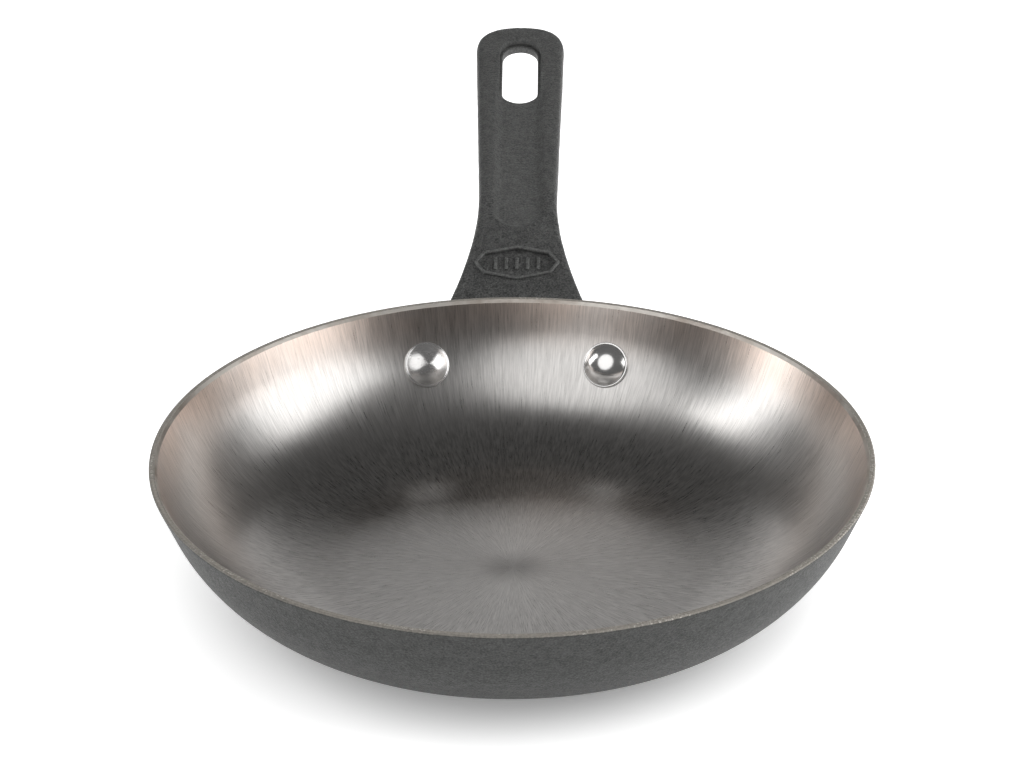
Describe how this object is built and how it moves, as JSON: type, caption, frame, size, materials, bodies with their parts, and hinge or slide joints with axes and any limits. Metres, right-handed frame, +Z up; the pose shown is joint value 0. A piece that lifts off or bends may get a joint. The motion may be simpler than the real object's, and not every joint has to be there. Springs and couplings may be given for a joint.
{
  "type": "riveted cast iron frying pan",
  "caption": "Shallow round cast-iron frying pan with a curved wall, a machined inside and a long riveted cast handle with a hang hole.",
  "frame": {"origin": "centre of the flat base, on the pan's axis", "axes": "+Z up out of the pan, +Y along the handle, +X to the right seen from the pan towards the handle"},
  "size_m": [0.2086, 0.3519, 0.0768],
  "materials": {
    "pan_iron": "turned and brushed bare iron inside, matt dark coating outside",
    "handle_iron": "sand-cast grain under a matt dark coating",
    "rivet_steel": "polished, with fine turning marks"
  },
  "bodies": {
    "root": {"pan_body": "pan_iron", "handle": "handle_iron", "rivet_left": "rivet_steel", "rivet_right": "rivet_steel"}
  },
  "joints": []
}
